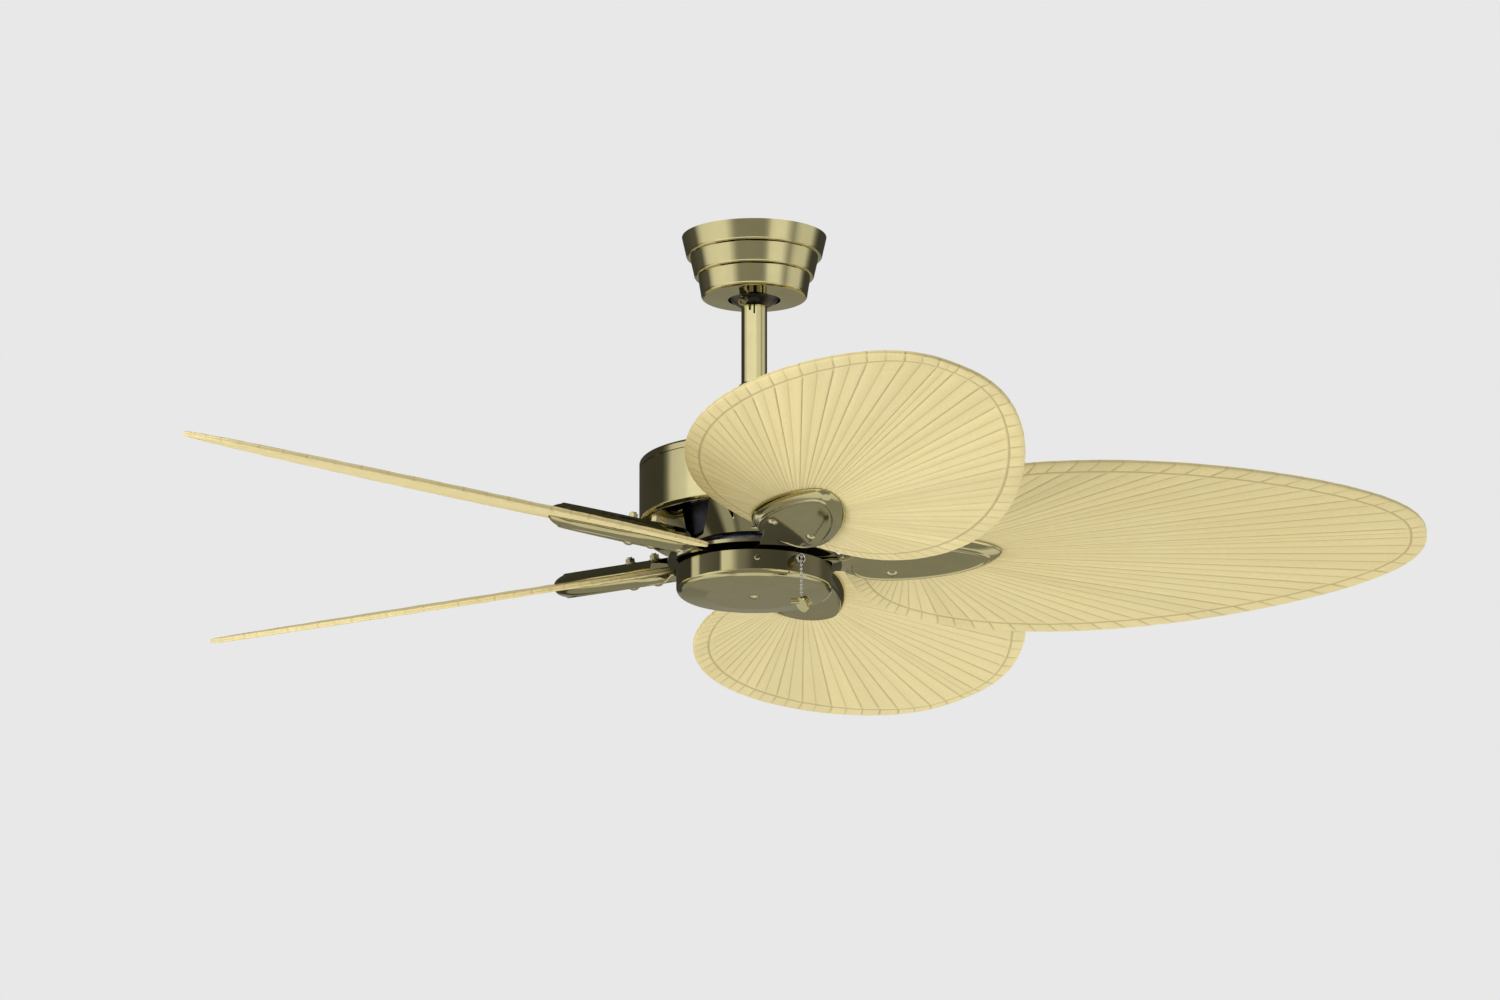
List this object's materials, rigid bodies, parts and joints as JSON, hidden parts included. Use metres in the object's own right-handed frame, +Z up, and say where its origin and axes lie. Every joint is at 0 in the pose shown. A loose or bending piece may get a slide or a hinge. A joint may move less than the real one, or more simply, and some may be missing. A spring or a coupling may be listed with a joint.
{
  "type": "ceiling fan",
  "caption": "Ceiling fan with broad palm leaf blades on leaf shaped irons, a drum motor on a short downrod, a stepped canopy and a pull chain.",
  "frame": {"origin": "on the ceiling plane, midway between the two ceiling screw holes, on the axis of the downrod and motor at rest", "axes": "+Z up, out of the ceiling plate into the ceiling and along the fan axis; +X along the ceiling plate through both screw holes; +Y to the back, away from the lock screw and pull chain"},
  "size_m": [1.2115, 1.263, 0.4016],
  "materials": {
    "antique_brass": "polished, antique olive brass plating on pressed steel",
    "bright_brass": "polished",
    "palm_leaf": "matt ribbed palm leaf",
    "dark_metal": "semi-gloss dark grey",
    "cast_iron": "rough",
    "zinc_steel": "zinc plated",
    "lamination_steel": "dull",
    "copper_wire": "enamelled copper wire",
    "cast_aluminium": "as cast",
    "chrome_trim": "polished",
    "black_plastic": "satin",
    "wire_jacket": "satin",
    "white_plastic": "satin"
  },
  "bodies": {
    "ceiling_mount": {"hanger_bracket": "zinc_steel", "canopy": "antique_brass", "canopy_screws": "bright_brass"},
    "hanging_fan": {"hanger_ball": "dark_metal", "ball_pin": "zinc_steel", "ball_lock_screw": "bright_brass", "ball_lock_nut": "bright_brass", "downrod": "antique_brass", "lead": "wire_jacket", "lead_plug": "white_plastic", "coupling": "cast_iron", "coupling_pin": "zinc_steel", "coupling_clip": "zinc_steel", "coupling_screws": "zinc_steel", "coupling_cover": "antique_brass", "housing_cap": "antique_brass", "cap_screws": "zinc_steel", "motor_housing": "antique_brass", "vented_cover": "antique_brass", "main_shaft": "zinc_steel", "stator_core": "lamination_steel", "stator_windings": "copper_wire", "switch_plate": "zinc_steel", "shaft_nut": "zinc_steel", "switch_housing": "antique_brass", "housing_screws": "bright_brass", "centre_screw": "bright_brass", "capacitor": "black_plastic", "pull_switch": "black_plastic", "chain_ferrule": "bright_brass", "ferrule_ring": "chrome_trim", "reverse_switch": "black_plastic"},
    "rotor": {"upper_bearing": "zinc_steel", "lower_bearing": "zinc_steel", "rotor_ring": "lamination_steel", "rotor_top": "cast_aluminium", "rotor_bottom": "cast_aluminium", "flywheel": "antique_brass", "flywheel_screws": "zinc_steel", "iron_screws": "bright_brass", "blade_1": "palm_leaf", "blade_2": "palm_leaf", "blade_3": "palm_leaf", "blade_4": "palm_leaf", "blade_5": "palm_leaf", "blade_iron_1": "antique_brass", "blade_iron_2": "antique_brass", "blade_iron_3": "antique_brass", "blade_iron_4": "antique_brass", "blade_iron_5": "antique_brass", "blade_plate_1": "antique_brass", "blade_plate_2": "antique_brass", "blade_plate_3": "antique_brass", "blade_plate_4": "antique_brass", "blade_plate_5": "antique_brass", "blade_bolts": "bright_brass", "blade_nuts": "bright_brass"},
    "pull_chain_set": {"pull_chain": "chrome_trim", "pull_fob": "antique_brass"},
    "reverse_slider_set": {"reverse_slider": "black_plastic"}
  },
  "joints": [
    {"name": "rod_swing", "type": "hinge", "parent": "ceiling_mount", "child": "hanging_fan", "pos_m": [0, 0, -0.043], "axis": [0, 1, 0], "range_deg": [-5, 5]},
    {"name": "rotor_spin", "type": "hinge", "parent": "hanging_fan", "child": "rotor", "pos_m": [0, 0, -0.3257], "axis": [0, 0, 1], "continuous": true},
    {"name": "chain_pull", "type": "slide", "parent": "hanging_fan", "child": "pull_chain_set", "axis": [0, 0, -1], "range_m": [0, 0.0065], "stiffness_N_per_m": 900, "springref_m": -0.003},
    {"name": "reverse_slide", "type": "slide", "parent": "hanging_fan", "child": "reverse_slider_set", "axis": [1, 0, 0], "range_m": [0, 0.005]}
  ]
}
